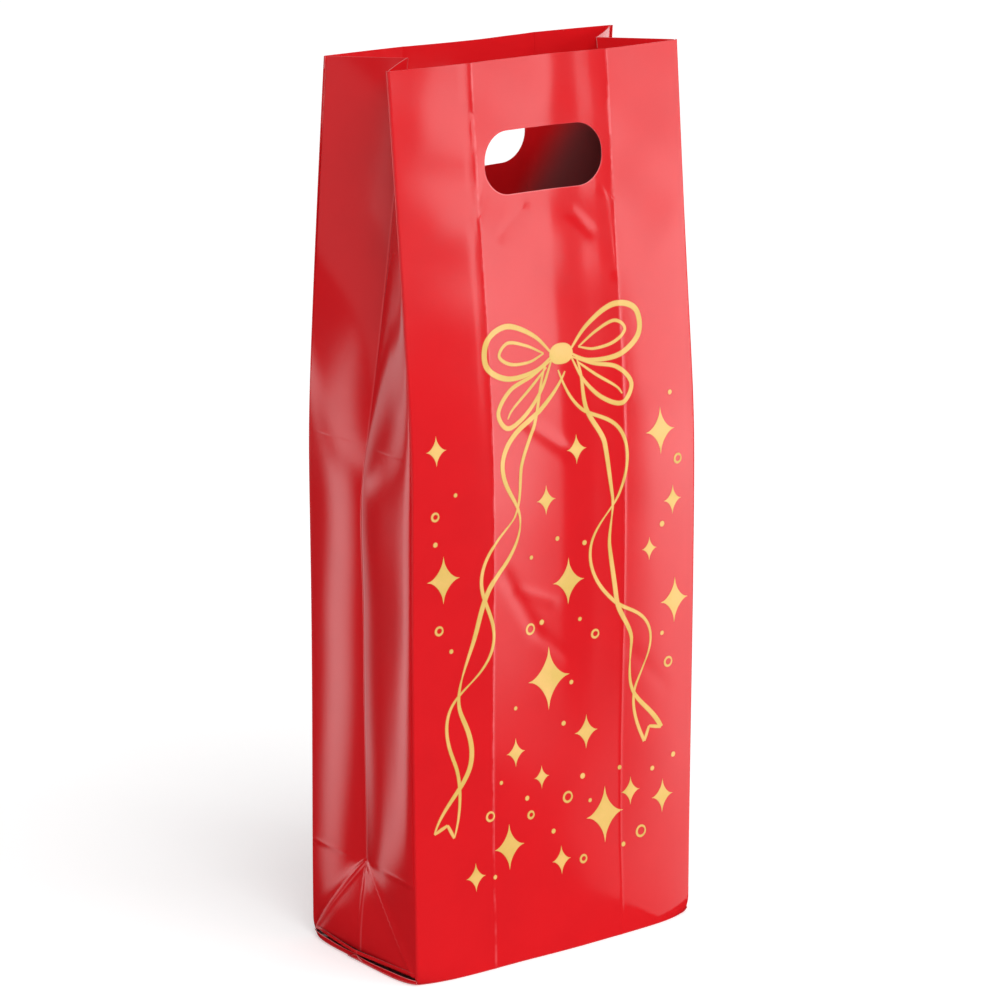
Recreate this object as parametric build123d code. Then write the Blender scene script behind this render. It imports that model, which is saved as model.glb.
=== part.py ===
from build123d import *
import math
import os

os.makedirs("parts", exist_ok=True)

# A gusseted block-bottom carrier bag for one wine bottle, folded from a tube of soft glossy film.
# Millimetres, +Z up. The origin is the middle of the rest surface, the front panel faces -Y.
# Every node is one panel of the film between two creases, so each crease is a line between nodes.

# Overall size of the standing bag
BAG_WIDTH = 150.0
BAG_DEPTH = 78.0
BAG_HEIGHT = 393.0
FILM = 0.2                 # thickness of the film

# The lower bag is an upright box. Above the bend the front and back lean towards each other.
BEND_HEIGHT = 232.0
MOUTH_DEPTH = 46.8         # from front to back at the rim
MOUTH_FOLD = 25.6          # how far the middle crease of a gusset is drawn in at the rim
FOLD_POWER = 0.73          # below 1 the crease draws in fastest just above the bend
FOLD_STEPS = 6             # straight stretches that the drawn-in crease is made of
CREASE_GAP = 0.3           # free space at a crease between panels that move against each other

# Die-cut handle slot, the same in the front and the back
SLOT_WIDTH = 62.0
SLOT_HEIGHT = 26.7
SLOT_CORNER = 12.5
SLOT_DROP = 42.4           # from the rim down to the middle of the slot, along the panel

# Block bottom: two overlapping flaps below, and a folded-in corner tuck at each side above them
FLAP_OVERLAP = 14.0
LIP_HEIGHT = 3.0           # turned-up side edge of a flap
TUCK_RISE = 6.5            # height at which a side wall folds in to become the tuck
TUCK_CLEARANCE = 0.3       # between the inner tip of a tuck and the flaps under it

# Sizes that follow from those above
HALF_WIDTH = BAG_WIDTH / 2
HALF_DEPTH = BAG_DEPTH / 2
LEAN_RISE = BAG_HEIGHT - BEND_HEIGHT
LEAN = math.atan2((BAG_DEPTH - MOUTH_DEPTH) / 2, LEAN_RISE)
LEAN_DEGREES = math.degrees(LEAN)
PANEL_LENGTH = LEAN_RISE / math.cos(LEAN)
FLAP_REACH = HALF_DEPTH + FLAP_OVERLAP / 2
TUCK_REACH = HALF_DEPTH    # creases at 45 degrees make the tuck half as deep as the bag
TUCK_TIP = 2 * FILM + TUCK_CLEARANCE


def block(x, y, z):
    """A box from its two limits along each axis."""
    size = (x[1] - x[0], y[1] - y[0], z[1] - z[0])
    middle = ((x[0] + x[1]) / 2, (y[0] + y[1]) / 2, (z[0] + z[1]) / 2)
    return Pos(*middle) * Box(*size)


def to_back(solid):
    return mirror(solid, about=Plane.XZ)


def to_right(solid):
    return mirror(solid, about=Plane.YZ)


def lower_panel():
    """Front wall of the box, from the rest surface to the bend."""
    return block(
        (-HALF_WIDTH, HALF_WIDTH),
        (-HALF_DEPTH, -HALF_DEPTH + FILM),
        (0, BEND_HEIGHT - CREASE_GAP / 2),
    )


def upper_panel():
    """Leaning front wall with its handle slot, made upright on the bend line and then tilted back."""
    wall = block((-HALF_WIDTH, HALF_WIDTH), (0, FILM), (CREASE_GAP / 2, PANEL_LENGTH))
    slot = extrude(RectangleRounded(SLOT_WIDTH, SLOT_HEIGHT, SLOT_CORNER), 10 * FILM, both=True)
    wall -= Pos(0, 0, PANEL_LENGTH - SLOT_DROP) * Rot(90, 0, 0) * slot
    return Pos(0, -HALF_DEPTH, BEND_HEIGHT) * Rot(-LEAN_DEGREES, 0, 0) * wall


def lower_gusset():
    """Front half of the left side wall, from the tuck's fold to the bend."""
    return block(
        (-HALF_WIDTH, -HALF_WIDTH + FILM),
        (-HALF_DEPTH + FILM, 0),
        (TUCK_RISE, BEND_HEIGHT - CREASE_GAP / 2),
    )


def gusset_section(z):
    """Level cut through the front half of the left gusset: a strip of film from the front edge
    to the middle crease, held clear of the front panel and of the other half."""
    share = (z - BEND_HEIGHT) / LEAN_RISE
    edge = Vector(-HALF_WIDTH, -HALF_DEPTH + (z - BEND_HEIGHT) * math.tan(LEAN))
    crease = Vector(-HALF_WIDTH + MOUTH_FOLD * share**FOLD_POWER, 0)
    along = (crease - edge).normalized()
    inward = Vector(along.Y, -along.X) * FILM
    start = edge + along * (FILM / math.cos(LEAN) + CREASE_GAP)
    end = crease - along * (CREASE_GAP / 2)
    corners = [start, end, end + inward, start + inward]
    outline = Polyline(*[(c.X, c.Y) for c in corners], close=True)
    return Pos(0, 0, z) * make_face(outline)


def upper_gusset():
    """Front half of the left gusset above the bend, folding inwards up to the rim."""
    first = BEND_HEIGHT + CREASE_GAP / 2
    heights = [first + (BAG_HEIGHT - first) * n / FOLD_STEPS for n in range(FOLD_STEPS + 1)]
    return loft([gusset_section(z) for z in heights], ruled=True)


def base_flap(level):
    """Front flap of the base with its turned-up side lips. The flap that is folded second lies
    one film lower, so level counts the films under this one."""
    low = level * FILM
    plate = block(
        (-HALF_WIDTH + low, HALF_WIDTH - low),
        (-HALF_DEPTH + FILM, -HALF_DEPTH + FLAP_REACH),
        (low, low + FILM),
    )
    lip = block(
        (-HALF_WIDTH + low, -HALF_WIDTH + low + FILM),
        (-HALF_DEPTH + FILM, -HALF_DEPTH + FLAP_REACH),
        (low + FILM, low + LIP_HEIGHT),
    )
    return plate + lip + to_right(lip)


def corner_tuck():
    """Triangle of film that the left side wall becomes where it folds in under itself."""
    outer = -HALF_WIDTH + FILM
    profile = Polyline(
        (outer, TUCK_RISE),
        (outer + TUCK_REACH, TUCK_TIP),
        (outer + TUCK_REACH, TUCK_TIP + FILM),
        (outer, TUCK_RISE + FILM),
        close=True,
    )
    slope = extrude(Rot(90, 0, 0) * make_face(profile), BAG_DEPTH, both=True)
    triangle = Polyline(
        (outer, -HALF_DEPTH + FILM),
        (outer + TUCK_REACH - FILM, 0),
        (outer, HALF_DEPTH - FILM),
        close=True,
    )
    return slope & extrude(make_face(triangle), BAG_HEIGHT)


nodes = {
    "front_panel_lower": lower_panel(),
    "back_panel_lower": to_back(lower_panel()),
    "front_panel_upper": upper_panel(),
    "back_panel_upper": to_back(upper_panel()),
    "base_flap_front": base_flap(0),
    "base_flap_back": to_back(base_flap(1)),
    "left_corner_tuck": corner_tuck(),
    "right_corner_tuck": to_right(corner_tuck()),
}
for height, half in (("lower", lower_gusset()), ("upper", upper_gusset())):
    nodes[f"left_gusset_front_{height}"] = half
    nodes[f"left_gusset_rear_{height}"] = to_back(half)
    nodes[f"right_gusset_front_{height}"] = to_right(half)
    nodes[f"right_gusset_rear_{height}"] = to_back(to_right(half))

for name, solid in nodes.items():
    solid.label = name
    export_step(solid, f"parts/{name}.step")
    box = solid.bounding_box()
    print(name, [round(v, 2) for v in (*box.min, *box.max)])
print("lean", round(LEAN_DEGREES, 3), "degrees, panel", round(PANEL_LENGTH, 2), "mm long")
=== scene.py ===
# %% [markdown]
# # A gift bag for one bottle
#
# The bag is a tube of glossy red film with a fold down each side and a folded block bottom. It
# stands open, the front and back lean towards each other above a soft bend, and a handle slot is
# punched through both. The CAD model gives every panel as a thin plate that turns on its crease.
# This lesson dresses those plates as real film: sheets that bow, crease and catch the light.

# %% The tools and the frame
import math

import bpy
import numpy as np
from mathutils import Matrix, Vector


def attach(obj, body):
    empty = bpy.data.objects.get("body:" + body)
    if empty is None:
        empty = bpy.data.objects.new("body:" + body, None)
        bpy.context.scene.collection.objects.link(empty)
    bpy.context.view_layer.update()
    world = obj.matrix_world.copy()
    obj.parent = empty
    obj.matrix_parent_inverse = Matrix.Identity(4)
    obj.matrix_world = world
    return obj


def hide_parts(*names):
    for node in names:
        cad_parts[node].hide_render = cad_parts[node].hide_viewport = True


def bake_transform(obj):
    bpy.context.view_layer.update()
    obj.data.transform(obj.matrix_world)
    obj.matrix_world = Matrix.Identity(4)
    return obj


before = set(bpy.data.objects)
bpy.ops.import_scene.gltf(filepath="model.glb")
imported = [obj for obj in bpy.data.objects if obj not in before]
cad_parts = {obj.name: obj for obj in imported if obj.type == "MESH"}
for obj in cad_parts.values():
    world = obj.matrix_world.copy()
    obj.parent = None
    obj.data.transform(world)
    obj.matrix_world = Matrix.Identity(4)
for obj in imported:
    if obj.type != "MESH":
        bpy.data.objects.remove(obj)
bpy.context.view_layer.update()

# %% [markdown]
# ## Sizes
#
# The CAD part is in millimetres and Blender works in metres. Film is thin, so the lesson counts
# in millimetres as well, and one helper turns them into metres when a mesh is made. These are the
# sizes that the panels were drawn with, except that the slot in the film is 0.9 mm smaller at
# each end, 0.15 mm above and below, and 0.4 mm further down.

# %% The bag in millimetres
MM = 0.001
HALF_WIDTH = 75.0
HALF_DEPTH = 39.0
BAG_HEIGHT = 393.0
BEND_HEIGHT = 232.0        # above this the front and back lean
MOUTH_HALF_DEPTH = 23.4
MOUTH_FOLD = 25.6          # how far a side crease is drawn in at the rim
LEAN = math.atan2(HALF_DEPTH - MOUTH_HALF_DEPTH, BAG_HEIGHT - BEND_HEIGHT)

SLOT_HALF_WIDTH = 30.1
SLOT_HALF_HEIGHT = 13.2 * math.cos(LEAN)
SLOT_CORNER = 12.5
SLOT_HEIGHT = BAG_HEIGHT - 42.8 * math.cos(LEAN)

print("lean", round(math.degrees(LEAN), 2), "degrees, slot", round(SLOT_HEIGHT, 1), "mm up")

# %% [markdown]
# ## The shape of the walls
#
# Folded film is a developable surface: it bends one way at a time and keeps its creases. The
# easiest way to hold such a shape is as a few plain functions. `wall` says how far the front is
# from the middle, `draw_in` how far the middle crease of a side has come in. Both turn gently
# at the bend, because film that was never creased there only curves.

# %% Where the walls are at a height
BEND_SOFTNESS = 11.0
FOLD_START = 224.0         # a side crease starts to come in a little below the bend
FOLD_SOFTNESS = 8.0
FOLD_POWER = 0.8           # it comes in quickly at first and slower towards the rim
CREASE_SLACK = 1.8         # below the bend it is a little slack, more so near the foot


def soft_ramp(value, softness):
    """Nought below nought, the value above it, with a rounded turn between."""
    return softness * np.logaddexp(0.0, np.asarray(value, float) / softness)


def ease(value, low=0.0, high=1.0):
    """Nought up to low, one from high, and an easy curve between."""
    share = np.clip((np.asarray(value, float) - low) / (high - low), 0, 1)
    return share * share * (3 - 2 * share)


def wall(z):
    """How far the front is from the middle of the bag."""
    return HALF_DEPTH - math.tan(LEAN) * soft_ramp(z - BEND_HEIGHT, BEND_SOFTNESS)


def draw_in(z):
    """How far the middle crease of a side has come in."""
    share = soft_ramp(z - FOLD_START, FOLD_SOFTNESS) / (BAG_HEIGHT - FOLD_START)
    slack = CREASE_SLACK * (1.5 - 0.5 * ease(z, 60, 140) - 0.67 * ease(z, 150, 210))
    return slack + (MOUTH_FOLD - slack) * share**FOLD_POWER


for z in (0, 150, BEND_HEIGHT, 300, BAG_HEIGHT):
    print("height", z, "wall", round(float(wall(z)), 2), "crease", round(float(draw_in(z)), 2))

# %% [markdown]
# A bag that was folded flat in a carton keeps a memory of it. Two faint creases run down the
# front, one side-fold in from each edge, so the front is three strips with slightly different
# tilts. Handling adds slow waves and a few small dents. Each is a small push along the wall's
# own direction, in millimetres, so they simply add up.

# %% Relief of the front and back
GHOST = 34.6               # from the middle to each flat-fold crease
CRISP_ABOVE = 250          # above this the flat-fold creases stand out more
CRISP_SOFTNESS = 12


def bump(value, width):
    """One where the value is nought, falling off softly on both sides."""
    return np.exp(-((value / width) ** 2))


def line_bump(x, z, ends, width):
    """One along the straight line between two points, fading to nought beside and beyond it."""
    (x0, z0), (x1, z1) = ends
    length = math.hypot(x1 - x0, z1 - z0)
    along = ((x - x0) * (x1 - x0) + (z - z0) * (z1 - z0)) / length
    aside = ((z - z0) * (x1 - x0) - (x - x0) * (z1 - z0)) / length
    beyond = np.maximum(0, np.maximum(-along, along - length))
    return bump(aside, width) * bump(beyond, width * 1.5)


FRONT_DENTS = (
    # ends of the dent, half width, push
    (((-14, 240), (8, 224)), 2.6, 0.32),
    (((-28, 176), (-12, 150)), 3.2, -0.30),
    (((-20, 168), (-2, 160)), 2.2, 0.22),
    (((-8, 146), (6, 134)), 2.4, -0.2),
    (((-36, 330), (-30, 346)), 2.0, -0.25),
    (((30, 332), (33, 300)), 1.8, 0.28),
    (((-22, 322), (-12, 330)), 2.0, -0.2),
    (((14, 326), (22, 318)), 2.2, 0.2),
    (((40, 130), (58, 112)), 3.5, -0.2),
)


def panel_relief(x, z, dents=FRONT_DENTS, turn=1):
    """How far the front film stands out from its flat wall. The back takes turn -1, which swaps
    what differs from left to right."""
    share = np.clip(np.abs(x) / HALF_WIDTH, 0, 1)
    past = np.clip((np.abs(x) - GHOST) / (HALF_WIDTH - GHOST), 0, 1)
    between = 1 - np.clip(np.abs(x) / GHOST, 0, 1) ** 2
    high = 1 / (1 + np.exp((CRISP_ABOVE - z) / CRISP_SOFTNESS))
    # three strips: the film is highest at the two creases and sinks between them
    first, second = 0.9 + 0.55 * high, 0.9 + 0.2 * high
    peak = (first + second) / 2 + (second - first) / 2 * np.clip(turn * x / GHOST, -1, 1)
    hollow = 0.5 + 1.1 * ease(z, 40, 150)
    strips = peak * (1 - past ** np.where(turn * x > 0, 2.5, 1.5)) - hollow * between
    strips += 0.75 * np.sin(np.pi * past) * (turn * x > 0) * ease(z, 20, 80) * ease(350 - z, 0, 60)
    step = 0.8 * ease(turn * x, 2, 20) + 0.35 * ease(turn * x, 26, 34) * high
    strips += step * (1 - past) * ease(z, 90, 160)
    # the creases themselves, with a groove beside each
    ridge = 0.13 * (bump(x + GHOST, 0.6) + bump(x - GHOST, 0.6))
    groove = -0.1 * (bump(x + GHOST + 3.2, 2.0) + bump(x - GHOST + 3.4, 2.2)) * high
    # slow waves, the foot where the film turns under, and a belly at mid height
    waves = (
        0.3 * np.sin(turn * x / 26 + z / 61 + 0.6)
        + 0.16 * np.sin(x / 15 - turn * z / 43 + 2.1)
        + 0.12 * np.sin(z / 19 + turn * x / 37)
    )
    foot = 2.4 * (1 - share**4) * bump(z, 34)
    belly = 0.9 * (1 - share**2) * bump(z - 190, 70)
    hem = 0.35 * np.sin(x / 11 + 1.0) * bump(z, 16)
    # marks of handling
    pushed = sum(push * line_bump(x, z, ends, width) for ends, width, push in dents)
    crumple = (
        np.sin((x + 0.9 * z) / 9.7 + 1.9) * np.sin((z - 0.4 * x) / 13.1)
        + 0.7 * np.sin((x - 1.6 * z) / 12.3 + 0.7) * np.sin((0.7 * z + x) / 17.9 + turn)
    ) * (0.05 + 0.11 * ease(z, 270, 350))
    free = (waves * 0.6 + hem + pushed + groove + crumple) * (1 - share**6)
    return strips + ridge + belly + foot + free


print("relief at mid height:", np.round(panel_relief(np.array([-60.0, 0, 60]), 200.0), 2), "mm")

# %% [markdown]
# Each half of a side is a narrow strip that bows out a little between its two creases. At the
# foot the block bottom was folded from three creases that meet at a point on the middle line:
# one across, and two running down to the corners. Film that has been folded hard stays raised
# along the fold.

# %% Relief of the sides
TRIANGLE_TOP = 46.0        # where the folds meet on the middle line
TRIANGLE_FOOT = 3.0        # where they reach the corners
TENT_RUN = 42              # the film inside the folds is highest this far below their point
TENT_HEIGHT = 4.2

# how steeply each half rises away from the middle crease, from the crease to its corner
RUN = (0, 0.1, 0.23, 0.45, 0.7, 0.85, 0.95, 1)
FRONT_RISE = (0.165, 0.12, 0.055, -0.005, -0.02, -0.05, -0.15, -0.4)
REAR_RISE = (0.173, 0.114, 0.064, 0.006, -0.049, -0.084, -0.119, -0.207)


def half_bow(share, rises):
    """The bow of one half of a side, summed from its slopes and held at the corner."""
    fine = np.linspace(0, 1, 400)
    climb = np.cumsum(np.interp(fine, RUN, rises)) / len(fine) * HALF_DEPTH
    climb -= climb[-1]
    return np.interp(share, fine, climb) - climb[0] * (1 - share)


def side_relief(y, z):
    """How far the side film stands out from its flat wall, front half at negative y."""
    half = wall(z)
    share = np.clip(np.abs(y) / half, 0, 1)
    bow = np.where(y > 0, half_bow(share, REAR_RISE), half_bow(share, FRONT_RISE))
    bow = bow * ease(z, 5, 60) * (1 - 0.5 * ease(z, BEND_HEIGHT, 360))
    # the two folds that run down to the corners, the front one double
    reach = (half - 1.5) * np.clip((TRIANGLE_TOP - z) / (TRIANGLE_TOP - TRIANGLE_FOOT), 0, 1)
    slant = math.cos(math.atan2(HALF_DEPTH, TRIANGLE_TOP))
    below = ease(TRIANGLE_TOP + 1 - z, 0, 2)
    aside = (np.abs(y) - reach) * slant
    ridge = 0.6 * bump(aside, 0.8) * below * np.where(z < TRIANGLE_TOP, 1, 0)
    double = 0.4 * bump(aside + 2.6, 0.7) * (y < 0) * ease(z, 18, 26) * below
    # the film stands out like a tent between them
    sunk = np.clip((TRIANGLE_TOP - z) / TENT_RUN, 0, 1)
    edge = np.where(y > 0, 0.55, 0.1) * ease(half - reach, 0, 18)
    across_tent = np.where(
        np.abs(y) < reach, 1 - (1 - edge) * np.abs(y) / np.maximum(reach, 0.1),
        edge * (half - np.abs(y)) / (half - reach),
    )
    tent = TENT_HEIGHT * np.sin(math.pi / 2 * sunk) * across_tent
    # the crease down the middle, the one across, and the film beside the folds
    middle = 0.1 * bump(y, 0.5) * ease(z, 8, 14) * below
    across = 0.12 * bump(z - TRIANGLE_TOP, 0.9) * ease(share, 0.15, 0.35)
    shelf = -0.3 * ease(TRIANGLE_TOP - z, 0, 3) * ease(aside, 0, 6)
    flare = 0.6 * (1 - share**4) * bump(z, 26)
    waves = 0.1 * np.sin(z / 31 + y / 17) * (1 - share**4)
    return bow + ridge + double + tent + middle + across + shelf + flare + waves


print("side relief:", np.round(side_relief(np.array([-20.0, 0, 20]), 120.0), 2), "mm")

# %% [markdown]
# A standing bag is never quite true, and its lower corners are rounded where the film turns
# under. Both are moves of space itself, so pieces that meet still meet afterwards.

# %% The bag settles as a whole
FOOT_ROUND = 9.0           # height of the rounding at the lower corners


def settle(points):
    """Small moves that all the pieces share: corners that wander, the left crease a little to
    the rear, the back's slot a little to the right, an uneven rim and rounded lower corners."""
    x, y, z = np.asarray(points, float).T
    side, front = x / HALF_WIDTH, y / HALF_DEPTH
    dx = 0.35 * side * np.sin(z / 52 + 1.2 * front + 0.4)
    dx -= 0.8 * np.clip(-side, 0, 1) * np.clip(front, 0, 1)
    dx += 4.2 * np.clip(front, 0, 1) * np.clip(1 - side**2, 0, 1) * bump(z - 345, 35)
    dy = 0.3 * front * np.sin(z / 44 + 0.8 * side + 2.0)
    dy += 1.5 * np.clip(1 - front**2, 0, 1) * np.clip(-side, 0, 1) ** 8 * ease(250 - z, 0, 60)
    dz = ease(z, 260, BAG_HEIGHT) * (1.2 + 0.45 * front - 0.3 * side)
    up = np.clip(1 - z / FOOT_ROUND, 0, 1)
    tucked = FOOT_ROUND * (1 - np.sqrt(np.clip(1 - up**2, 0, 1))) * 0.33
    corner = (np.clip(np.abs(side), 0, 1) * np.clip(np.abs(front), 0, 1)) ** 8
    dx -= np.sign(x) * tucked * corner
    dy -= np.sign(y) * tucked * corner
    return np.stack([x + dx, y + dy, z + dz], axis=1)


# %% [markdown]
# ## Nets
#
# A piece starts as a flat net of four-sided faces, is laid on its surface by a function, and is
# then given the film's thickness. The lines of the net lie close together near a crease and
# further apart on a plain stretch. Round the handle slot the net changes to rings, so that the
# punched edge is one clean curve and not a staircase.

# %% Lines, nets and rings
def ladder(low, high, step, creases=(), fine=0.35, reach=4.0):
    """Places between two limits, closer together near the creases."""
    places = [low]
    while places[-1] < high:
        near = min((abs(places[-1] - crease) for crease in creases), default=reach)
        places.append(places[-1] + fine + (step - fine) * min(1.0, near / reach))
    places = np.array(places)
    return low + (places - low) * (high - low) / (places[-1] - low)


def net(across, up):
    """Points and faces of a flat net."""
    points = np.array([(a, u) for u in up for a in across])
    wide = len(across)
    faces = [
        (r * wide + c, r * wide + c + 1, (r + 1) * wide + c + 1, (r + 1) * wide + c)
        for r in range(len(up) - 1)
        for c in range(wide - 1)
    ]
    return points, faces


def net_with_slot(across, up, rings=9, margin=9.0):
    """A net with the handle slot in it. The faces round the slot run in rings."""
    points, faces = net(across, up)
    wide = len(across)
    c0, c1 = np.searchsorted(across, (-SLOT_HALF_WIDTH - margin, SLOT_HALF_WIDTH + margin))
    r0, r1 = np.searchsorted(
        up, (SLOT_HEIGHT - SLOT_HALF_HEIGHT - margin, SLOT_HEIGHT + SLOT_HALF_HEIGHT + margin)
    )
    columns, rows = list(range(c0, c1 + 1)), list(range(r0, r1 + 1))
    loop = (
        [r0 * wide + c for c in columns[:-1]]
        + [r * wide + c1 for r in rows[:-1]]
        + [r1 * wide + c for c in columns[:0:-1]]
        + [r * wide + c0 for r in rows[:0:-1]]
    )
    gone = {r * wide + c for r in rows[:-1] for c in columns[:-1]}
    faces = [face for face in faces if face[0] not in gone]
    outer = points[loop]
    heart = np.array([SLOT_HALF_WIDTH - SLOT_CORNER, SLOT_HALF_HEIGHT - SLOT_CORNER])
    centre = np.array([0.0, SLOT_HEIGHT])
    inner = np.clip(outer - centre, -heart, heart)
    away = outer - centre - inner
    inner = centre + inner + SLOT_CORNER * away / np.linalg.norm(away, axis=1)[:, None]
    last, count = loop, len(loop)
    for ring in range(1, rings + 1):
        share = 1 - (1 - ring / rings) ** 1.6      # closer together at the punched edge
        first = len(points)
        points = np.vstack([points, outer + (inner - outer) * share])
        new = list(range(first, first + count))
        faces += [
            (last[k], last[(k + 1) % count], new[(k + 1) % count], new[k]) for k in range(count)
        ]
        last = new
    return points, faces


trial = net_with_slot(ladder(-HALF_WIDTH, HALF_WIDTH, 1.4), ladder(0, BAG_HEIGHT, 1.4))
print("a net of", len(trial[1]), "faces")

# %% [markdown]
# ## From a net to a piece of film
#
# The Solidify modifier gives a net its thickness, with the outer face left where it is, and puts
# the cut edge in a material slot of its own. The modifier is applied at once, because pieces
# that bend across a crease need their final mesh. Only the real corners at the cut edge stay
# sharp.

# %% Pieces of film
FILM = 0.28                # thickness
SHARP_EDGE = 50            # degrees
pieces = {}


def keep_used(points, faces):
    """Drops the points that no face uses."""
    used = sorted({corner for face in faces for corner in face})
    place = {corner: new for new, corner in enumerate(used)}
    return points[used], [tuple(place[corner] for corner in face) for face in faces]


def make_piece(name, points, faces, thickness=FILM, flip=False):
    """A closed piece from the points of its outer face, in millimetres. Its outer face takes
    the first material, its cut edge the second and its inner face the third."""
    points, faces = keep_used(np.asarray(points), faces)
    if flip:
        faces = [face[::-1] for face in faces]
    mesh = bpy.data.meshes.new(name)
    mesh.from_pydata((points * MM).tolist(), [], faces)
    piece = bpy.data.objects.new(name, mesh)
    bpy.context.scene.collection.objects.link(piece)
    for _ in range(3):
        mesh.materials.append(None)
    solid = piece.modifiers.new("thickness", "SOLIDIFY")
    solid.thickness = thickness * MM
    solid.offset = -1
    solid.use_even_offset = True
    solid.material_offset = 2
    solid.material_offset_rim = 1
    shown = piece.evaluated_get(bpy.context.evaluated_depsgraph_get())
    final = bpy.data.meshes.new_from_object(shown)
    piece.modifiers.clear()
    piece.data = final
    final.name = name
    # the cut edge's painted highlight, a paler pink, shows at the rim, the slot and the foot only:
    # other edges lie in a fold
    for face in final.polygons:
        x, _, z = np.array(face.center) / MM
        beside_slot = abs(x) < 50 and abs(z - SLOT_HEIGHT) < 20
        shows = z > BAG_HEIGHT - 3 or z < 4 or beside_slot
        if face.material_index == 1 and not shows:
            face.material_index = 0
    final.shade_smooth()
    final.set_sharp_from_angle(angle=math.radians(SHARP_EDGE))
    pieces[name] = piece
    print(name, len(final.polygons), "faces")
    return piece


# %% [markdown]
# ## The front and the back
#
# One sheet from the foot to the rim makes the front. Its side edges wrap round the corner crease
# in a tight curve and end on the side wall, where the side film goes on. The back is the same
# sheet turned round with its own waves, since the slot is punched through both at once.

# %% Laying the front and the back
CORNER = 0.8               # radius of a corner crease
LAP = 0.5                  # flat strip past the corner
FOOT_TURN = 0.9            # radius where the sheet turns under at the foot
OFF_FLOOR = 0.02           # the sheet ends this far above the floor


def round_corner(across):
    """Where a point of the sheet comes: across the front, and how far round behind it."""
    size = np.abs(across)
    past = np.clip(size - (HALF_WIDTH - CORNER), 0, None)
    angle = np.clip(past / CORNER, 0, math.pi / 2)
    straight = np.clip(past - CORNER * math.pi / 2, 0, None)
    x = np.minimum(size, HALF_WIDTH - CORNER) + CORNER * np.sin(angle)
    return np.sign(across) * x, CORNER * (1 - np.cos(angle)) + straight


def lay_front(points, lift=0.0, dents=FRONT_DENTS, turn=1):
    """Points of the front sheet: x across, z up, and lifted off the film for ink."""
    x, behind = round_corner(points[:, 0])
    z = points[:, 1]
    low = np.clip(FOOT_TURN - z, 0, None)
    behind = behind + FOOT_TURN - np.sqrt(FOOT_TURN**2 - low**2)
    out = wall(z) + panel_relief(x, z, dents, turn) + lift - behind
    return np.stack([x, -out, z], axis=1)


sheet_half = HALF_WIDTH - CORNER + CORNER * math.pi / 2 + LAP
sheet_lines = ladder(
    -sheet_half, sheet_half, 1.5, (-sheet_half + 1, -GHOST, GHOST, sheet_half - 1), 0.22
)
height_lines = ladder(OFF_FLOOR, BAG_HEIGHT, 1.5, (0, BAG_HEIGHT), 0.2)
points, faces = net_with_slot(sheet_lines, height_lines)
front_film = make_piece("front_film", settle(lay_front(points)), faces)

BACK_DENTS = (
    (((10, 250), (-12, 236)), 2.8, 0.3),
    (((24, 180), (4, 158)), 3.4, -0.3),
    (((-30, 334), (-34, 306)), 2.0, 0.25),
    (((-44, 120), (-60, 100)), 3.5, -0.2),
)
back = lay_front(points, dents=BACK_DENTS, turn=-1) * np.array([-1, -1, 1])
back_film = make_piece("back_film", settle(back), faces)

for panel, film, top in (("front", front_film, "front_top"), ("back", back_film, "back_top")):
    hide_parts(f"{panel}_panel_lower", f"{panel}_panel_upper")
    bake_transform(film)

# %% [markdown]
# ## The sides
#
# Below the bend a side is one upright sheet with a middle crease. Above it the two halves fold
# towards each other, and there each half is its own piece. It follows the front (or back) along
# its edge and the fold at the crease, and turns smoothly between. A hidden strip half a
# millimetre wide runs on behind the other half.

# %% Laying a side
EDGE_GAP = CORNER + 0.3    # the side film starts just under the lap of the front film
HIDDEN = 0.03              # and lies this far inside it


def lay_side(points, side, half=0):
    """Points of a side sheet: y across, z up. A half keeps its own straight run past the crease."""
    y, z = points.T
    share = np.abs(y) / wall(z) if half == 0 else half * y / wall(z)
    inset = draw_in(z) * (1 - share) + HIDDEN
    return np.stack([side * (HALF_WIDTH - inset + side_relief(y, z)), y, z], axis=1)


SIDE_TOP = BEND_HEIGHT
SIDE_FOOT = 5.0            # the slit between the side and the base flaps is below this
side_heights = ladder(SIDE_FOOT, SIDE_TOP, 1.6, (SIDE_FOOT, TRIANGLE_TOP), 0.45, 9)
side_lines = ladder(-1, 1, 0.05, (-1, 0, 1), 0.011, 0.22)
for name, side in (("left", -1), ("right", 1)):
    shares, faces = net(side_lines, side_heights)
    heights = shares[:, 1]
    points = np.stack([shares[:, 0] * (wall(heights) - EDGE_GAP), heights], axis=1)
    film = make_piece(f"{name}_side_film", settle(lay_side(points, side)), faces, flip=side < 0)
    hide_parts(f"{name}_gusset_front_lower", f"{name}_gusset_rear_lower")
    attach(film, "box")

# %% The folding halves above the bend
FOLD_UNDER = 3.5           # a half runs on this far down behind the side film
PAST_CREASE = 0.5          # and this far behind the other half
BEHIND = 0.06              # how far its lower end lies inside the side film
half_heights = ladder(SIDE_TOP - FOLD_UNDER, BAG_HEIGHT, 1.6, (SIDE_TOP, BAG_HEIGHT), 0.6)
half_lines = ladder(0, 1, 0.04, (0, 1), 0.008, 0.15)
for name, side in (("left", -1), ("right", 1)):
    for part, facing, top in (("front", -1, "front_top"), ("rear", 1, "back_top")):
        shares, faces = net(half_lines, half_heights)
        heights = shares[:, 1]
        run = wall(heights) - EDGE_GAP + PAST_CREASE
        across = facing * (shares[:, 0] * run - PAST_CREASE)
        points = np.stack([across, heights], axis=1)
        laid = settle(lay_side(points, side, facing))
        laid[:, 0] -= side * BEHIND * np.clip((SIDE_TOP - heights) / 0.5, 0, 1)
        film = make_piece(f"{name}_{part}_fold_film", laid, faces, flip=side * facing < 0)
        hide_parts(f"{name}_gusset_{part}_upper")
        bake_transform(film)

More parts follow.
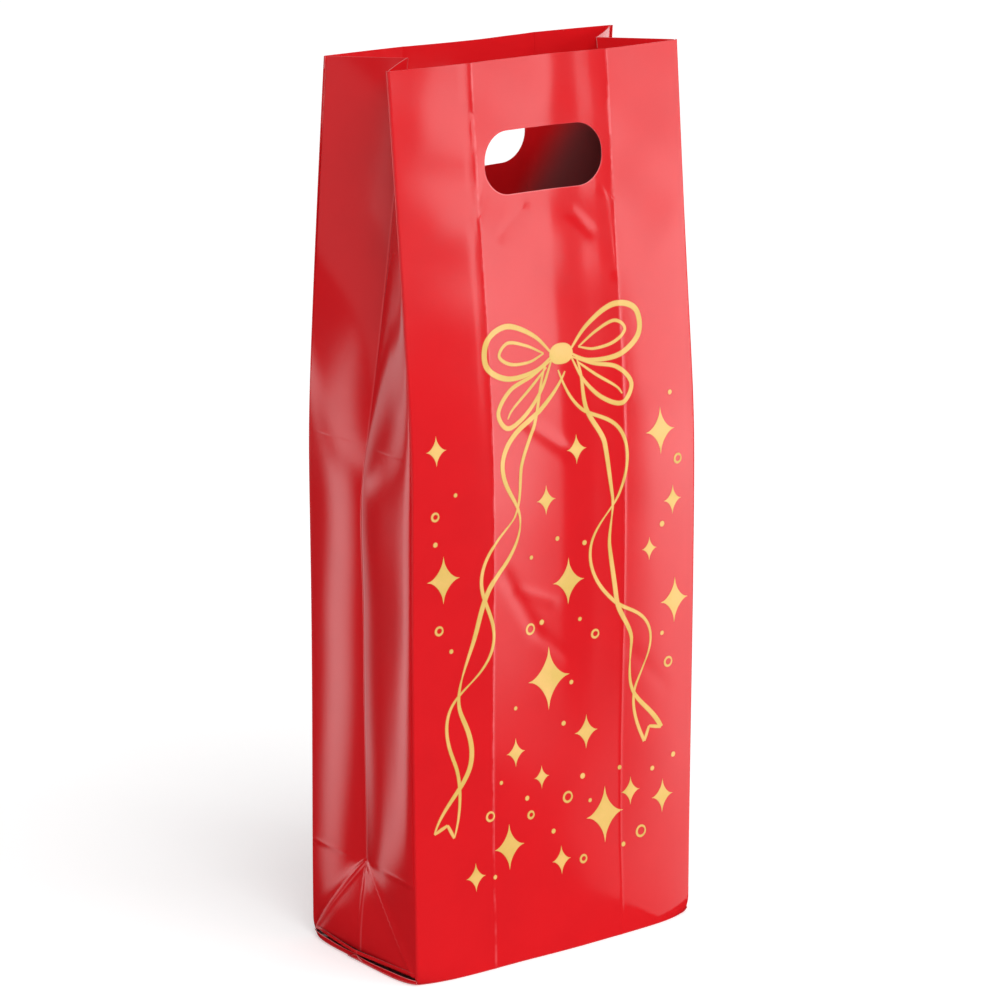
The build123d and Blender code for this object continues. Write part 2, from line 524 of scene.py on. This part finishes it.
print(len(pieces), "pieces of film so far")

# %% [markdown]
# ## The block bottom
#
# Under the bag the front and the rear of the tube fold over each other as two flaps. Their ends
# turn up at the sides as a low lip, and the sides fold in above them as two triangular tucks. A
# narrow dark gap stays open between the lip and the side above it. Each flap is one sheet whose
# net is counted in three zones: the flat, the turn and the lip.

# %% The two base flaps
FLAP_REACH = 7.0           # past the middle
LIP = 2.0
LIP_TURN = 0.7
FLAP_STEP = 0.3            # from the lower flap to the upper one


def bowed(share, most):
    """A bow that is flat along the middle and falls to nought at both ends."""
    return most * (1 - np.clip(np.abs(share), 0, 1) ** 4)


def lay_flap(zones, level):
    """A flap's points from its zones across (0-1 flat, 1-2 turn, 2-3 lip) and its length."""
    zone, run = np.abs(zones[:, 0]), zones[:, 1]
    flat = HALF_WIDTH - LIP_TURN - level * FLAP_STEP
    x_flat = flat * np.clip(zone, 0, 1)
    start = -(HALF_DEPTH - 0.35) - bowed(x_flat / HALF_WIDTH, 2.3)
    y = start + run * (FLAP_REACH - start)
    angle = np.clip(zone - 1, 0, 1) * math.pi / 2
    height = (LIP + 0.25 * np.sin(y / 5.5)) * ease((FLAP_REACH - 2 - y) / 4.5)
    rise = np.clip(zone - 2, 0, 1) * height
    curl = 0.9 * bump(y - 2.5, 2.2) * np.clip(zone - 2, 0, 1)
    wide = bowed(y / HALF_DEPTH, 2.8) * ease(np.clip(zone, 0, 1) ** 6)
    x = x_flat + LIP_TURN * np.sin(angle) + wide + 0.18 * rise + curl
    z = level * FLAP_STEP + FILM + LIP_TURN * (1 - np.cos(angle)) + rise
    return np.stack([np.sign(zones[:, 0]) * x, y, z], axis=1)


zone_lines = np.concatenate([
    -ladder(2, 3, 0.25)[::-1], -np.linspace(1, 2, 6)[-2::-1], ladder(-1, 1, 0.02)[1:-1],
    np.linspace(1, 2, 6), ladder(2, 3, 0.25)[1:],
])
zones, faces = net(zone_lines, np.linspace(0, 1, 40))
flap = settle(lay_flap(zones, 0))
front_flap = make_piece("front_flap_film", flap, faces)
flap = settle(lay_flap(zones, 1) * np.array([-1, -1, 1]))
rear_flap = make_piece("rear_flap_film", flap, faces)
for film, node in ((front_flap, "base_flap_front"), (rear_flap, "base_flap_back")):
    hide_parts(node)
    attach(film, "box")

# %% The two tucks
TUCK_TURN = 1.5
TUCK_UPRIGHT = 1.0         # height of the strip behind the side film
TUCK_SLOPE = math.atan2(SIDE_FOOT - TUCK_TURN - 1.0, HALF_DEPTH)


def lay_tuck(shares, side):
    """From under the side film, round a tight turn and down towards the middle of the base."""
    along, across = shares[:, 0], shares[:, 1]
    turn = TUCK_TURN * (math.pi / 2 - TUCK_SLOPE)
    run = along * (TUCK_UPRIGHT + turn + HALF_DEPTH - TUCK_TURN - 1.5)
    angle = np.clip((run - TUCK_UPRIGHT) / TUCK_TURN, 0, turn / TUCK_TURN)
    past = np.clip(run - TUCK_UPRIGHT - turn, 0, None)
    inset = 0.4 + TUCK_TURN * (1 - np.cos(angle)) + past * math.cos(TUCK_SLOPE)
    drop = np.minimum(run, TUCK_UPRIGHT) + TUCK_TURN * np.sin(angle) + past * math.sin(TUCK_SLOPE)
    z = SIDE_FOOT + TUCK_UPRIGHT - 0.2 - drop
    y = across * (HALF_DEPTH - 1.2) * (1 - np.clip(inset / (HALF_DEPTH + 0.4), 0, 1))
    out = side_relief(y, np.maximum(z, SIDE_FOOT)) * np.exp(-inset / 6)
    return np.stack([side * (HALF_WIDTH - inset + out), y, z], axis=1)


shares, faces = net(ladder(0, 1, 0.03, (0.05,), 0.006, 0.1), np.linspace(-1, 1, 60))
for name, side in (("left", -1), ("right", 1)):
    tuck = make_piece(f"{name}_tuck_film", settle(lay_tuck(shares, side)), faces, flip=side > 0)
    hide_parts(f"{name}_corner_tuck")
    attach(tuck, "box")

# %% [markdown]
# ## The print
#
# A gift bag carries a line drawing in gold. This one has a general festive design: a tied ribbon
# with two long waving tails, with sparkles and dots beside it. Ink could be drawn in the
# material, but a drawn line is a real thin layer with its own finish, so each stroke is a strip
# laid on the front a few hundredths of a millimetre above the film. A wider, darker strip under
# it is the edge where the ink has spread.

# %% Strokes, dots and sparkles
def curve_through(places, step=0.9):
    """A smooth line through a few places, as points about a step apart."""
    places = np.array(places, float)
    ends = np.vstack([2 * places[0] - places[1], places, 2 * places[-1] - places[-2]])
    line = []
    for a, b, c, d in zip(ends, ends[1:], ends[2:], ends[3:]):
        count = max(2, int(np.linalg.norm(c - b) / step))
        t = np.linspace(0, 1, count, endpoint=False)[:, None]
        line.append(
            0.5 * (2 * b + (c - a) * t + (2 * a - 5 * b + 4 * c - d) * t**2
                   + (3 * b - a - 3 * c + d) * t**3)
        )
    return np.vstack(line + [places[-1:]])


def normals_of(line):
    """The direction across a line at each of its points."""
    along = np.gradient(line, axis=0)
    along /= np.linalg.norm(along, axis=1)[:, None]
    return np.stack([-along[:, 1], along[:, 0]], axis=1)


INK_LAYERS = (("gold_print", 0.085, 0.0), ("gold_print_edge", 0.045, 0.2))    # lift, spread
INK_STEP = 0.0004          # each stroke lies this much above the one before
INK_THICKNESS = 0.03
drawing = {name: ([], []) for name, _, _ in INK_LAYERS}


def add_shape(points, faces, layer, lift):
    """Puts one shape on a layer of the print."""
    have, had = drawing[layer]
    first = sum(len(part) for part in have)
    have.append(np.column_stack([points, np.full(len(points), lift)]))
    had.extend(tuple(corner + first for corner in face) for face in faces)


def ink(points_for):
    """Adds a shape twice: as it is, and a little wider and lower as its darker edge."""
    count = len(drawing["gold_print"][0])
    for layer, lift, spread in INK_LAYERS:
        points, faces = points_for(spread)
        add_shape(points, faces, layer, lift + INK_STEP * count)


def stroke(line, widest, thinnest=0.45, swells=1.0):
    """A pen stroke: thin at its ends and swelling between."""
    share = np.linspace(0, 1, len(line))
    swell = np.abs(np.sin(math.pi * swells * share)) ** 0.7
    width = thinnest + (widest - thinnest) * swell
    side = normals_of(line)

    def points_for(spread):
        half = (width / 2 + spread)[:, None]
        rows = [line + side * half * place for place in (-1, -0.5, 0, 0.5, 1)]
        points = np.stack(rows, axis=1).reshape(-1, 2)
        _, faces = net(range(5), range(len(line)))
        return points, [face[::-1] for face in faces]

    ink(points_for)


def blob(centre, radius_at, rings=4, spokes=40):
    """A filled shape from its radius at every angle."""
    angles = np.linspace(0, 2 * math.pi, spokes, endpoint=False)

    def points_for(spread):
        radius = radius_at(angles) + spread
        spoke = np.stack([np.cos(angles), np.sin(angles)], axis=1) * radius[:, None]
        shares = np.linspace(0.05, 1, rings)
        points = np.vstack([np.array(centre) + spoke * share for share in shares])
        faces = [
            (r * spokes + k, (r + 1) * spokes + k, (r + 1) * spokes + (k + 1) % spokes,
             r * spokes + (k + 1) % spokes)
            for r in range(rings - 1)
            for k in range(spokes)
        ]
        faces.append(tuple(range(spokes)))
        return points, faces

    ink(points_for)


def dot(x, z, radius):
    blob((x, z), lambda angles: np.full_like(angles, radius), rings=3, spokes=24)


def sparkle(x, z, radius):
    """A four-pointed star with hollow sides, taller than it is wide."""
    def radius_at(angles):
        across, up = np.abs(np.cos(angles)), np.abs(np.sin(angles)) / 1.3
        return radius * np.maximum((across**0.62 + up**0.62) ** (-1 / 0.62), 0.1)

    blob((x, z), radius_at, rings=6, spokes=96)


def ring(x, z, radius):
    """An open circle."""
    angles = np.linspace(0.3, 0.3 + 2 * math.pi, 40)
    stroke(np.stack([x + radius * np.cos(angles), z + radius * np.sin(angles)], axis=1), 0.9, 0.5)


def ribbon(places, half, twists, widest):
    """The two edges of a ribbon that twists as it hangs, cut to a notch at its end."""
    line = curve_through(places)
    side = normals_of(line)
    turn = np.cos(math.pi * twists * np.linspace(0, 1, len(line)))[:, None]
    edges = [line + side * half * turn * way for way in (1, -1)]
    stroke(edges[0], widest, swells=twists / 2 + 0.5)
    stroke(edges[1], widest * 0.7, swells=twists / 2 + 0.5)
    along = line[-1] - line[-4]
    notch = line[-1] - along / np.linalg.norm(along) * half * 0.9
    for edge in edges:
        stroke(curve_through([edge[-1], (edge[-1] + notch) / 2, notch]), 1.4, 0.9)


# %% [markdown]
# With these tools the drawing is a few lists of places on the front, across and up. The ribbon
# comes first: two tails that twist as they hang, and two pairs of loops round a knot.

# %% The tied ribbon
KNOT = (4, 268)
LEFT_TAIL = [(1, 263), (-9, 246), (-24, 226), (-22, 200), (-38, 176), (-40, 148), (-54, 122),
             (-50, 94), (-60, 66)]
RIGHT_TAIL = [(7, 263), (14, 244), (29, 228), (30, 204), (22, 180), (30, 156), (44, 138),
              (41, 112), (52, 90)]
ribbon(LEFT_TAIL, half=5.4, twists=5, widest=2.2)
ribbon(RIGHT_TAIL, half=5.2, twists=4, widest=2.1)

# one side's two loops, from the knot outwards, with a line inside each
LOOP = [(0, 0), (10, 9), (24, 14), (35, 9), (36, -2), (25, -8), (10, -6), (0, 0)]
LOOP_INSIDE = [(5, 1), (14, 5), (24, 7), (29, 2), (23, -2), (13, -2), (5, 1)]
LOW_LOOP = [(1, -2), (12, -8), (24, -13), (31, -22), (26, -29), (16, -24), (7, -14), (1, -2)]
LOW_FOLD = [(4, -5), (13, -13), (23, -21), (26, -25)]
for way in (-1, 1):
    tilt = 0.16 if way > 0 else 0.05
    for shape, wide in ((LOOP, 2.4), (LOOP_INSIDE, 1.3), (LOW_LOOP, 1.9), (LOW_FOLD, 1.1)):
        placed = [(KNOT[0] + way * (4 + a), KNOT[1] + b + tilt * a) for a, b in shape]
        stroke(curve_through(placed), wide, swells=1)
blob(KNOT, lambda angles: 5.2 + 0.8 * np.cos(2 * angles))
print("the ribbon has", len(drawing["gold_print"][0]), "strokes")

# %% Sparkles, rings and dots: across, up and size
SPARKLES = (
    (54, 228, 8), (61, 196, 5), (48, 176, 4), (6, 168, 8), (-4, 126, 11), (16, 98, 6), (63, 150, 8),
    (26, 58, 10), (-26, 54, 8), (58, 60, 6), (-60, 180, 8), (-63, 236, 5), (-22, 96, 5),
    (-6, 206, 5), (2, 42, 5), (40, 66, 5), (-44, 44, 5), (-8, 82, 4), (10, 226, 5),
)
for x, z, radius in SPARKLES:
    sparkle(x, z, radius)
RINGS = (
    (64, 214, 1.9), (-64, 208, 1.6), (20, 142, 1.7), (-14, 150, 2.1), (6, 70, 2.2), (46, 46, 2.4),
    (-62, 158, 1.7), (60, 122, 2.0), (-36, 70, 1.9), (14, 40, 1.6), (-14, 66, 1.5),
)
for x, z, radius in RINGS:
    ring(x, z, radius)
DOTS = (
    (60, 244, 1.0), (55, 186, 1.2), (0, 188, 0.9), (-8, 152, 1.1), (12, 150, 0.8), (4, 104, 1.0),
    (14, 78, 1.2), (34, 78, 0.9), (64, 78, 1.1), (-16, 74, 1.0), (-30, 84, 0.8), (-64, 196, 1.0),
    (-54, 216, 0.8), (-56, 148, 0.9), (56, 136, 0.9), (-14, 182, 0.8), (36, 42, 1.0), (-2, 56, 1.0),
    (-34, 42, 0.9), (52, 74, 1.0), (18, 66, 0.8), (8, 122, 0.9), (-22, 116, 0.8), (14, 184, 1.0),
)
for x, z, radius in DOTS:
    dot(x, z, radius)
print(len(SPARKLES), "sparkles,", len(RINGS), "rings and", len(DOTS), "dots")

# %% The print is laid on the film
for name, (parts, faces) in drawing.items():
    flat = np.vstack(parts)
    laid = settle(lay_front(flat[:, :2], lift=flat[:, 2]))
    layer = make_piece(name, laid, faces, thickness=INK_THICKNESS)
    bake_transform(layer)

# %% [markdown]
# ## Finishes
#
# A finish here is a Principled shader whose inputs are worked out from the place on the bag. Two
# small classes keep that readable. `Wire` is one output of a node, and sums written with it add
# Math nodes. `Finish` is a material whose `node` adds anything else.

# %% Writing shader sums in Python
class Wire:
    """One value in a node tree. Sums with it add Math nodes."""

    def __init__(self, finish, socket):
        self.finish, self.socket = finish, socket

    def sum_with(self, operation, *terms):
        return self.finish.node(
            "ShaderNodeMath", {"operation": operation}, dict(enumerate(terms))
        )

    def __add__(self, other):
        return self.sum_with("ADD", self, other)

    __radd__ = __add__

    def __sub__(self, other):
        return self.sum_with("SUBTRACT", self, other)

    def __rsub__(self, other):
        return self.sum_with("SUBTRACT", other, self)

    def __mul__(self, other):
        return self.sum_with("MULTIPLY", self, other)

    __rmul__ = __mul__

    def __abs__(self):
        return self.sum_with("ABSOLUTE", self)

    def between(self, low, high):
        """Nought at low, one at high, eased between."""
        return self.finish.node(
            "ShaderNodeMapRange",
            {"interpolation_type": "SMOOTHSTEP"},
            {"Value": self, "From Min": low, "From Max": high},
        )


class Finish:
    """A material with one Principled shader."""

    def __init__(self, name, roughness=0.5, specular=0.5):
        self.material = bpy.data.materials.new(name)
        self.material.use_nodes = True
        self.tree = self.material.node_tree
        self.shader = self.tree.nodes["Principled BSDF"]
        self.set("Roughness", roughness)
        self.set("Specular IOR Level", specular)

    def set(self, socket, value):
        self.feed(self.shader.inputs[socket], value)

    def node(self, kind, settings=None, sockets=None, out=0):
        new = self.tree.nodes.new(kind)
        for setting, value in (settings or {}).items():
            setattr(new, setting, value)
        for socket, value in (sockets or {}).items():
            self.feed(new.inputs[socket], value)
        return Wire(self, new.outputs[out])

    def feed(self, socket, value):
        if isinstance(value, Wire):
            self.tree.links.new(value.socket, socket)
        else:
            socket.default_value = value

    def place(self):
        """x, y and z on the bag, in millimetres."""
        where = self.node("ShaderNodeTexCoord", out="Object")
        parts = [
            self.node("ShaderNodeSeparateXYZ", sockets={"Vector": where}, out=axis)
            for axis in "XYZ"
        ]
        return where, [part * 1000 for part in parts]

    def noise(self, where, scale, detail=2.0, roughness=0.5):
        return self.node(
            "ShaderNodeTexNoise", None,
            {"Vector": where, "Scale": scale, "Detail": detail, "Roughness": roughness},
        )

    def blend(self, share, first, second):
        """A colour between two."""
        return self.node(
            "ShaderNodeMix", {"data_type": "RGBA"}, {0: share, 6: first, 7: second}, out=2
        )


# %% [markdown]
# The film is one deep red all through, blown thin and glossy. Its surface is not perfectly even,
# so the gloss is broken by a very fine orange-peel, and folding hard turns the film a little
# paler along a crease.

# %% The red film
RED = (0.745, 0.0115, 0.0165, 1)
DEEP_RED = (0.68, 0.009, 0.014, 1)
PALE_RED = (0.86, 0.12, 0.13, 1)

film = Finish("red_film", specular=0.4)
film.set("IOR", 1.5)
where, (x, y, z) = film.place()
cloudy = film.noise(where, 42, 3)
speckle = film.noise(where, 900, 2)
base = film.blend(cloudy.between(0.3, 0.75) * 0.5 + speckle * 0.2, RED, DEEP_RED)

# where the film is worn pale: along the flat-fold creases, of which the right one fades out on
# its way down, the side creases and the folds at the foot; a painted highlight runs pale round
# the punched edge of the slot, stronger along its lower half
ghost = (1 - abs(abs(x) - GHOST).between(0.25, 0.9)) * (abs(y).between(20, 22))
ghost = ghost * (1 - x.between(0, 10) * (1 - z.between(150, 260)))
patchy = film.noise(where, 160, 2).between(0.35, 0.7)
side_crease = (1 - abs(y).between(0.2, 0.8)) * abs(x).between(44, 46)
aside = abs(abs(y) - (TRIANGLE_TOP - z) * (HALF_DEPTH / TRIANGLE_TOP))
fold = (1 - aside.between(0.2, 0.7)) * (abs(x).between(71, 72) * (1 - z.between(45, 47)))
slot_x = x.sum_with("MAXIMUM", abs(x) - (SLOT_HALF_WIDTH - SLOT_CORNER), 0)
slot_z = x.sum_with("MAXIMUM", abs(z - SLOT_HEIGHT - 0.6) - (SLOT_HALF_HEIGHT - SLOT_CORNER), 0)
from_slot = x.sum_with("SQRT", slot_x * slot_x + slot_z * slot_z) - SLOT_CORNER
# painted highlight along the slot's punched edge, fading along its upper half
slot_edge_highlight = (1 - from_slot.between(0.1, 0.7)) * (1 - z.between(SLOT_HEIGHT - 9, SLOT_HEIGHT) * 0.8)
wear_and_painted_highlight = slot_edge_highlight * abs(y).between(21, 22) + ghost * patchy * 0.5 + side_crease * 0.35
wear_and_painted_highlight = wear_and_painted_highlight + fold * (patchy + 1) * z.between(6, 40) * 0.45
film.set("Base Color", film.blend(wear_and_painted_highlight, base, PALE_RED))
film.set("Roughness", 0.1 + cloudy * 0.05 + speckle * 0.03)
peel = film.noise(where, 520, 2) * 0.6 + film.noise(where, 130, 2) * 0.4
film.set("Normal", film.node(
    "ShaderNodeBump", None, {"Strength": 0.06, "Distance": 0.0003, "Height": peel}
))

# the inner face is duller, painted a brighter red than the film as painted light, and painted a
# greyer dark as painted shade deep in the bag on the right
inside = Finish("red_film_inside_painted_light_and_shade", specular=0.4)
where, (x, y, z) = inside.place()
# painted shade deep in the bag on the right
painted_shade = (1 - z.between(345, 378)) * (x - (z - 345) * 0.6).between(38, 66)
inside.set("Base Color", inside.blend(painted_shade, (0.93, 0.014, 0.02, 1), (0.4, 0.13, 0.135, 1)))
inside.set("Roughness", 0.16 + inside.noise(where, 60) * 0.1)

# the cut edge is painted a paler pink: a painted highlight along the rim, the slot and the foot
edge_highlight = Finish("film_cut_edge_painted_highlight", roughness=0.4)
where, _ = edge_highlight.place()
edge_highlight.set("Base Color", edge_highlight.blend(edge_highlight.noise(where, 300), (0.8, 0.16, 0.17, 1), (0.9, 0.3, 0.3, 1)))
print("film materials:", film.material.name, edge_highlight.material.name)

# %% [markdown]
# The gold is a printed ink, not a metal foil: a warm yellow that runs a little darker where it
# lies thick, over an orange-brown rim.

# %% The gold ink
gold = Finish("gold_ink")
where, _ = gold.place()
thick = gold.noise(where, 60, 3).between(0.3, 0.7)
fine = gold.noise(where, 700, 2)
gold.set("Base Color", gold.blend(
    thick * 0.7 + fine * 0.3, (0.93, 0.56, 0.17, 1), (0.74, 0.5, 0.09, 1)
))
gold.set("Roughness", 0.34 + fine * 0.12)
gold.set("Normal", gold.node(
    "ShaderNodeBump", None, {"Strength": 0.15, "Distance": 0.0002, "Height": fine}
))

ink_edge = Finish("gold_ink_edge")
where, _ = ink_edge.place()
ink_edge.set("Base Color", ink_edge.blend(
    ink_edge.noise(where, 500), (0.62, 0.16, 0.035, 1), (0.75, 0.26, 0.06, 1)
))
ink_edge.set("Roughness", 0.4 + ink_edge.noise(where, 800) * 0.1)

# %% Every piece gets its finishes
for name, piece in pieces.items():
    ink_of = {"gold_print": gold, "gold_print_edge": ink_edge}.get(name)
    coats = [ink_of] * 3 if ink_of else [film, edge_highlight, inside]
    # flaps and tucks were laid by the face that looks into the bag
    if "flap" in name or "tuck" in name:
        coats = [inside, edge_highlight, film]
    for slot, coat in enumerate(coats):
        piece.data.materials[slot] = coat.material
print("pieces dressed:", len(pieces))

# %% [markdown]
# ## Floor, light and camera
#
# A glossy thing shows its surroundings, so a plain studio is mostly a matter of what stands where
# the gloss looks. A wide soft sun and a small low lamp on the left light the red itself and make
# no gloss. Three lamps in front on the right do the opposite: only the gloss sees them, mirrored
# in the front. The other surroundings are cards that only the gloss sees. A black one lies in
# front of the bag and keeps most of the lower front a deep red. Two that glow lie on the floor,
# one on the right for the lower front and one on the left for the long soft bands down the side.
# Two tall black flags far out behind and on the left keep the pale room out of the side.

# %% A pale floor and an even room
def stage_plate(name, corners, finish):
    """A flat plate that belongs to the studio and not to the bag, in metres."""
    mesh = bpy.data.meshes.new(name)
    mesh.from_pydata([tuple(corner) for corner in corners], [], [tuple(range(len(corners)))])
    mesh.materials.append(finish.material)
    plate = bpy.data.objects.new(name, mesh)
    bpy.context.scene.collection.objects.link(plate)
    return plate


paper = Finish("pale_floor", roughness=1.0, specular=0.0)
paper.set("Base Color", (0.8, 0.8, 0.8, 1))
paper.set("Emission Strength", 1.0)
seen = [paper.node("ShaderNodeLightPath", out=ray)
        for ray in ("Is Camera Ray", "Is Glossy Ray", "Is Transmission Ray")]
paper.set("Emission Color", (seen[0] + seen[1] + seen[2]) * 0.42)
FLOOR = 9.0                # metres from the middle to each edge
ROOM_LIGHT = 0.34
stage_plate("floor", [(-FLOOR, -FLOOR, 0), (FLOOR, -FLOOR, 0), (FLOOR, FLOOR, 0),
                      (-FLOOR, FLOOR, 0)], paper)

world = bpy.data.worlds.new("room")
bpy.context.scene.world = world
world.use_nodes = True
room = world.node_tree.nodes["Background"]
room.inputs["Color"].default_value = (1, 1, 1, 1)
room.inputs["Strength"].default_value = ROOM_LIGHT
print("floor", 2 * FLOOR, "m wide, room light", ROOM_LIGHT)

# %% Lamps
def aim_from(lamp, at, aim):
    """Puts a lamp at one place, in metres, and points it at another."""
    lamp.location = at
    lamp.rotation_euler = (Vector(aim) - Vector(at)).to_track_quat("-Z", "Y").to_euler()
    lamp.visible_camera = False
    bpy.context.scene.collection.objects.link(lamp)
    return lamp


def gloss_lamp(name, at, aim, size, brightness):
    """A rectangular lamp that only the gloss sees. Brightness 1 is as bright as white paper."""
    data = bpy.data.lights.new(name, "AREA")
    data.shape = "RECTANGLE"
    data.size, data.size_y = size
    data.energy = brightness * math.pi * size[0] * size[1]
    data.diffuse_factor = 0.0
    return aim_from(bpy.data.objects.new(name, data), at, aim)


sun_data = bpy.data.lights.new("even_light", "SUN")
sun_data.energy = 1.75
sun_data.angle = math.radians(50)
sun_data.specular_factor = 0.0
aim_from(bpy.data.objects.new("even_light", sun_data), (-0.06, -0.6, 0.79), (0, 0, 0))

fill_data = bpy.data.lights.new("low_fill", "AREA")
fill_data.size, fill_data.energy, fill_data.specular_factor = 0.45, 0.34, 0.0
aim_from(bpy.data.objects.new("low_fill", fill_data), (-0.55, -0.1, 0.12), (-0.075, 0, 0.1))

gloss_lamp("front_right_low", (1.244, -1.116, 0.140), (0.039, 0.040, 0.140), (0.834, 0.26), 3.7)
gloss_lamp("front_right_high", (1.291, -1.067, 0.735), (0.085, 0.089, 0.735), (0.698, 0.93), 2.1)
gloss_lamp("front_high", (0.943, -1.430, 0.735), (-0.263, -0.274, 0.735), (0.307, 0.93), 3.4)

# %% Cards for the gloss
FAR = 4600                 # how far the cards reach, in millimetres
FLAG_HEIGHT = 4            # metres
TO_DEGREES = 57.3
black = Finish("black_card", roughness=1.0, specular=0.0)
black.set("Base Color", (0.004, 0.004, 0.004, 1))


def only_for_gloss(plate):
    """Hides a card from everything but reflections."""
    plate.visible_camera = False
    plate.visible_diffuse = False
    plate.visible_shadow = False
    plate.visible_transmission = False


def card(name, corners, height, brightness=0.0, shade=None):
    """A card just over the floor that only the gloss sees, black or glowing."""
    finish = black
    if brightness:
        finish = Finish(name + "_glow", roughness=1.0, specular=0.0)
        finish.set("Base Color", (0, 0, 0, 1))
        finish.set("Emission Strength", brightness)
        _, (x, y, _) = finish.place()
        finish.set("Emission Color", shade(x, y))
    only_for_gloss(
        stage_plate(name, [(x * MM, y * MM, height * MM) for x, y in corners], finish)
    )


def heading(x, y, start):
    """Degrees from straight behind the bag, turning left, as seen from a start point."""
    return x.sum_with("ARCTAN2", start[0] - x, y - start[1]) * TO_DEGREES


def glow_front(x, y):
    """Light from the right that fades in across a line running out from the bag."""
    return (x * 0.829 + y * 0.559).between(-51, 119) * ((x - y).between(600, 1400) * 0.38 + 0.62)


def glow_left(x, y):
    """A band of light for the rear half of the side, and a fainter one past its crease. The
    turns are degrees and the rest millimetres over the floor."""
    turn = heading(x, y, (-66, 29))
    band = turn.between(35, 42.5) * (1 - turn.between(46.5, 56)) * (y - x).between(-150, 620)
    far = y.between(820, 940) * turn.between(42, 50) * (1 - (y - x).between(4300, 5600))
    past = (1 - heading(x, y, (-79, -2)).between(12, 23)) * (y - x).between(200, 400)
    patch = (1 - abs(x + 520).between(60, 170)) * (1 - abs(y - 980).between(50, 160))
    return band * (1 - y.between(780, 880)) + far + past * 0.32 + patch * 0.6


card("front_black", [(-FAR, -FAR), (FAR, -FAR), (FAR, -34), (-70, -34)], 0.6)
card("front_glow", [(60, -46), (70, -120), (930, -1460), (1530, -900), (170, -46)], 1.2, 4.2,
     glow_front)
card("left_glow", [(-FAR, -FAR), (-70, -34), (-70, 34), (560, 34), (560, FAR), (-FAR, FAR)],
     1.2, 2.9, glow_left)

FLAGS = (("flag_left", (-FAR, -800), (-FAR, FAR)), ("flag_behind", (-FAR, FAR), (560, FAR)))
for name, (x0, y0), (x1, y1) in FLAGS:
    only_for_gloss(stage_plate(name, [(x * MM, y * MM, z) for x, y, z in (
        (x0, y0, 0), (x1, y1, 0), (x1, y1, FLAG_HEIGHT), (x0, y0, FLAG_HEIGHT))], black))
print("the cards and flags reach", FAR * MM, "m out")

# %% The camera, from the left and a little above, with a long lens
camera_data = bpy.data.cameras.new("camera")
camera_data.lens = 145.25
camera_data.sensor_width = 36
camera_data.dof.use_dof = False
camera = bpy.data.objects.new("camera", camera_data)
camera.location = (-0.9960, -1.3651, 0.6606)
camera.rotation_euler = [math.radians(a) for a in (74.64, 0.02, -36.07)]
bpy.context.scene.collection.objects.link(camera)
scene = bpy.context.scene
scene.camera = camera
scene.view_settings.view_transform = "Standard"
